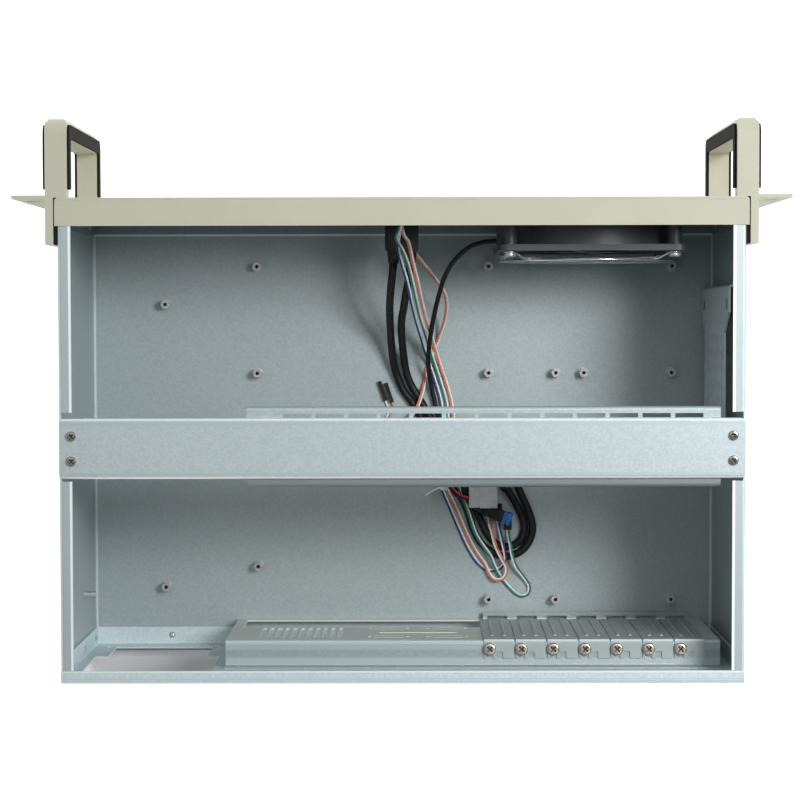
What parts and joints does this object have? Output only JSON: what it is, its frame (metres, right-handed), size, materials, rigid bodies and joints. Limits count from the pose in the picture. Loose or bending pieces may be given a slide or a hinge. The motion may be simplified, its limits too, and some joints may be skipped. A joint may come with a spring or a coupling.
{
  "type": "rack mount chassis",
  "caption": "Short rack mount chassis with its lid off: folded steel tray, painted front panel, grip handles, cross bar, card slot covers, cooling fan and front-panel leads.",
  "frame": {"origin": "middle of the footprint over the handles and the rack ears, at the underside of the tray", "axes": "-Y is the way the front panel faces, +Z is the open lid side, +X is the side of the power supply bay"},
  "size_m": [0.4826, 0.3516, 0.179],
  "materials": {
    "galvanised_steel": "galvanised, satin",
    "slot_steel": "plated, satin",
    "beige_paint": "textured powder coat",
    "black_plastic": "fine grain",
    "dark_plastic": "smooth",
    "nickel_screw": "nickel plated",
    "zinc_hardware": "zinc plated",
    "guard_wire": "bright plated wire",
    "port_shell": "tin plated",
    "stator_core": "varnished core and windings",
    "bearing_bronze": "oiled",
    "lamp_green": "clear tinted lens",
    "lamp_amber": "clear tinted lens",
    "cable_black": "soft jacket",
    "wire_green": "wire insulation",
    "wire_orange": "wire insulation",
    "wire_blue": "wire insulation",
    "plug_black": "moulded",
    "plug_white": "moulded nylon",
    "tie_white": "nylon"
  },
  "bodies": {
    "chassis": {"base_tray": "galvanised_steel", "bar_ledges": "galvanised_steel", "front_bulkhead": "galvanised_steel", "rear_panel": "galvanised_steel", "slot_box": "galvanised_steel", "cross_bar": "galvanised_steel", "hold_down_strip": "galvanised_steel", "drive_bracket": "galvanised_steel", "slot_cover_1": "slot_steel", "slot_cover_2": "slot_steel", "slot_cover_3": "slot_steel", "slot_cover_4": "slot_steel", "slot_cover_5": "slot_steel", "slot_cover_6": "slot_steel", "slot_cover_7": "slot_steel", "front_panel": "beige_paint", "handle_left": "beige_paint", "handle_right": "beige_paint", "grip_left_inner": "black_plastic", "grip_left_outer": "black_plastic", "grip_right_inner": "black_plastic", "grip_right_outer": "black_plastic", "spacer_left": "black_plastic", "spacer_right": "black_plastic", "fan_frame": "black_plastic", "usb_block": "black_plastic", "power_switch": "black_plastic", "reset_switch": "black_plastic", "slot_screws": "nickel_screw", "cross_bar_screws": "nickel_screw", "strip_studs": "zinc_hardware", "panel_nuts": "zinc_hardware", "ear_screws": "zinc_hardware", "board_standoffs": "zinc_hardware", "wall_peg": "zinc_hardware", "rivets": "zinc_hardware", "fan_screws": "zinc_hardware", "fan_guard": "guard_wire", "usb_ports": "port_shell", "fan_stator": "stator_core", "fan_sleeve": "bearing_bronze", "power_led": "lamp_green", "drive_led": "lamp_amber", "usb_cable_1": "cable_black", "usb_cable_2": "cable_black", "fan_lead": "cable_black", "power_led_wires": "wire_green", "power_switch_wires": "wire_orange", "drive_led_wires": "wire_orange", "reset_switch_wires": "wire_blue", "usb_plugs": "plug_black", "header_plugs": "plug_black", "fan_plug": "plug_white", "cable_tie": "tie_white"},
    "fan_rotor": {"fan_rotor": "dark_plastic"},
    "power_button": {"power_button": "dark_plastic"},
    "reset_button": {"reset_button": "dark_plastic"}
  },
  "joints": [
    {"name": "fan_spin", "type": "hinge", "parent": "chassis", "child": "fan_rotor", "pos_m": [-0.1211, -0.10775, 0.072], "axis": [0, 1, 0], "continuous": true},
    {"name": "power_press", "type": "slide", "parent": "chassis", "child": "power_button", "axis": [0, 1, 0], "range_m": [0, 0.0015], "stiffness_N_per_m": 1500},
    {"name": "reset_press", "type": "slide", "parent": "chassis", "child": "reset_button", "axis": [0, 1, 0], "range_m": [0, 0.0015], "stiffness_N_per_m": 1000}
  ]
}
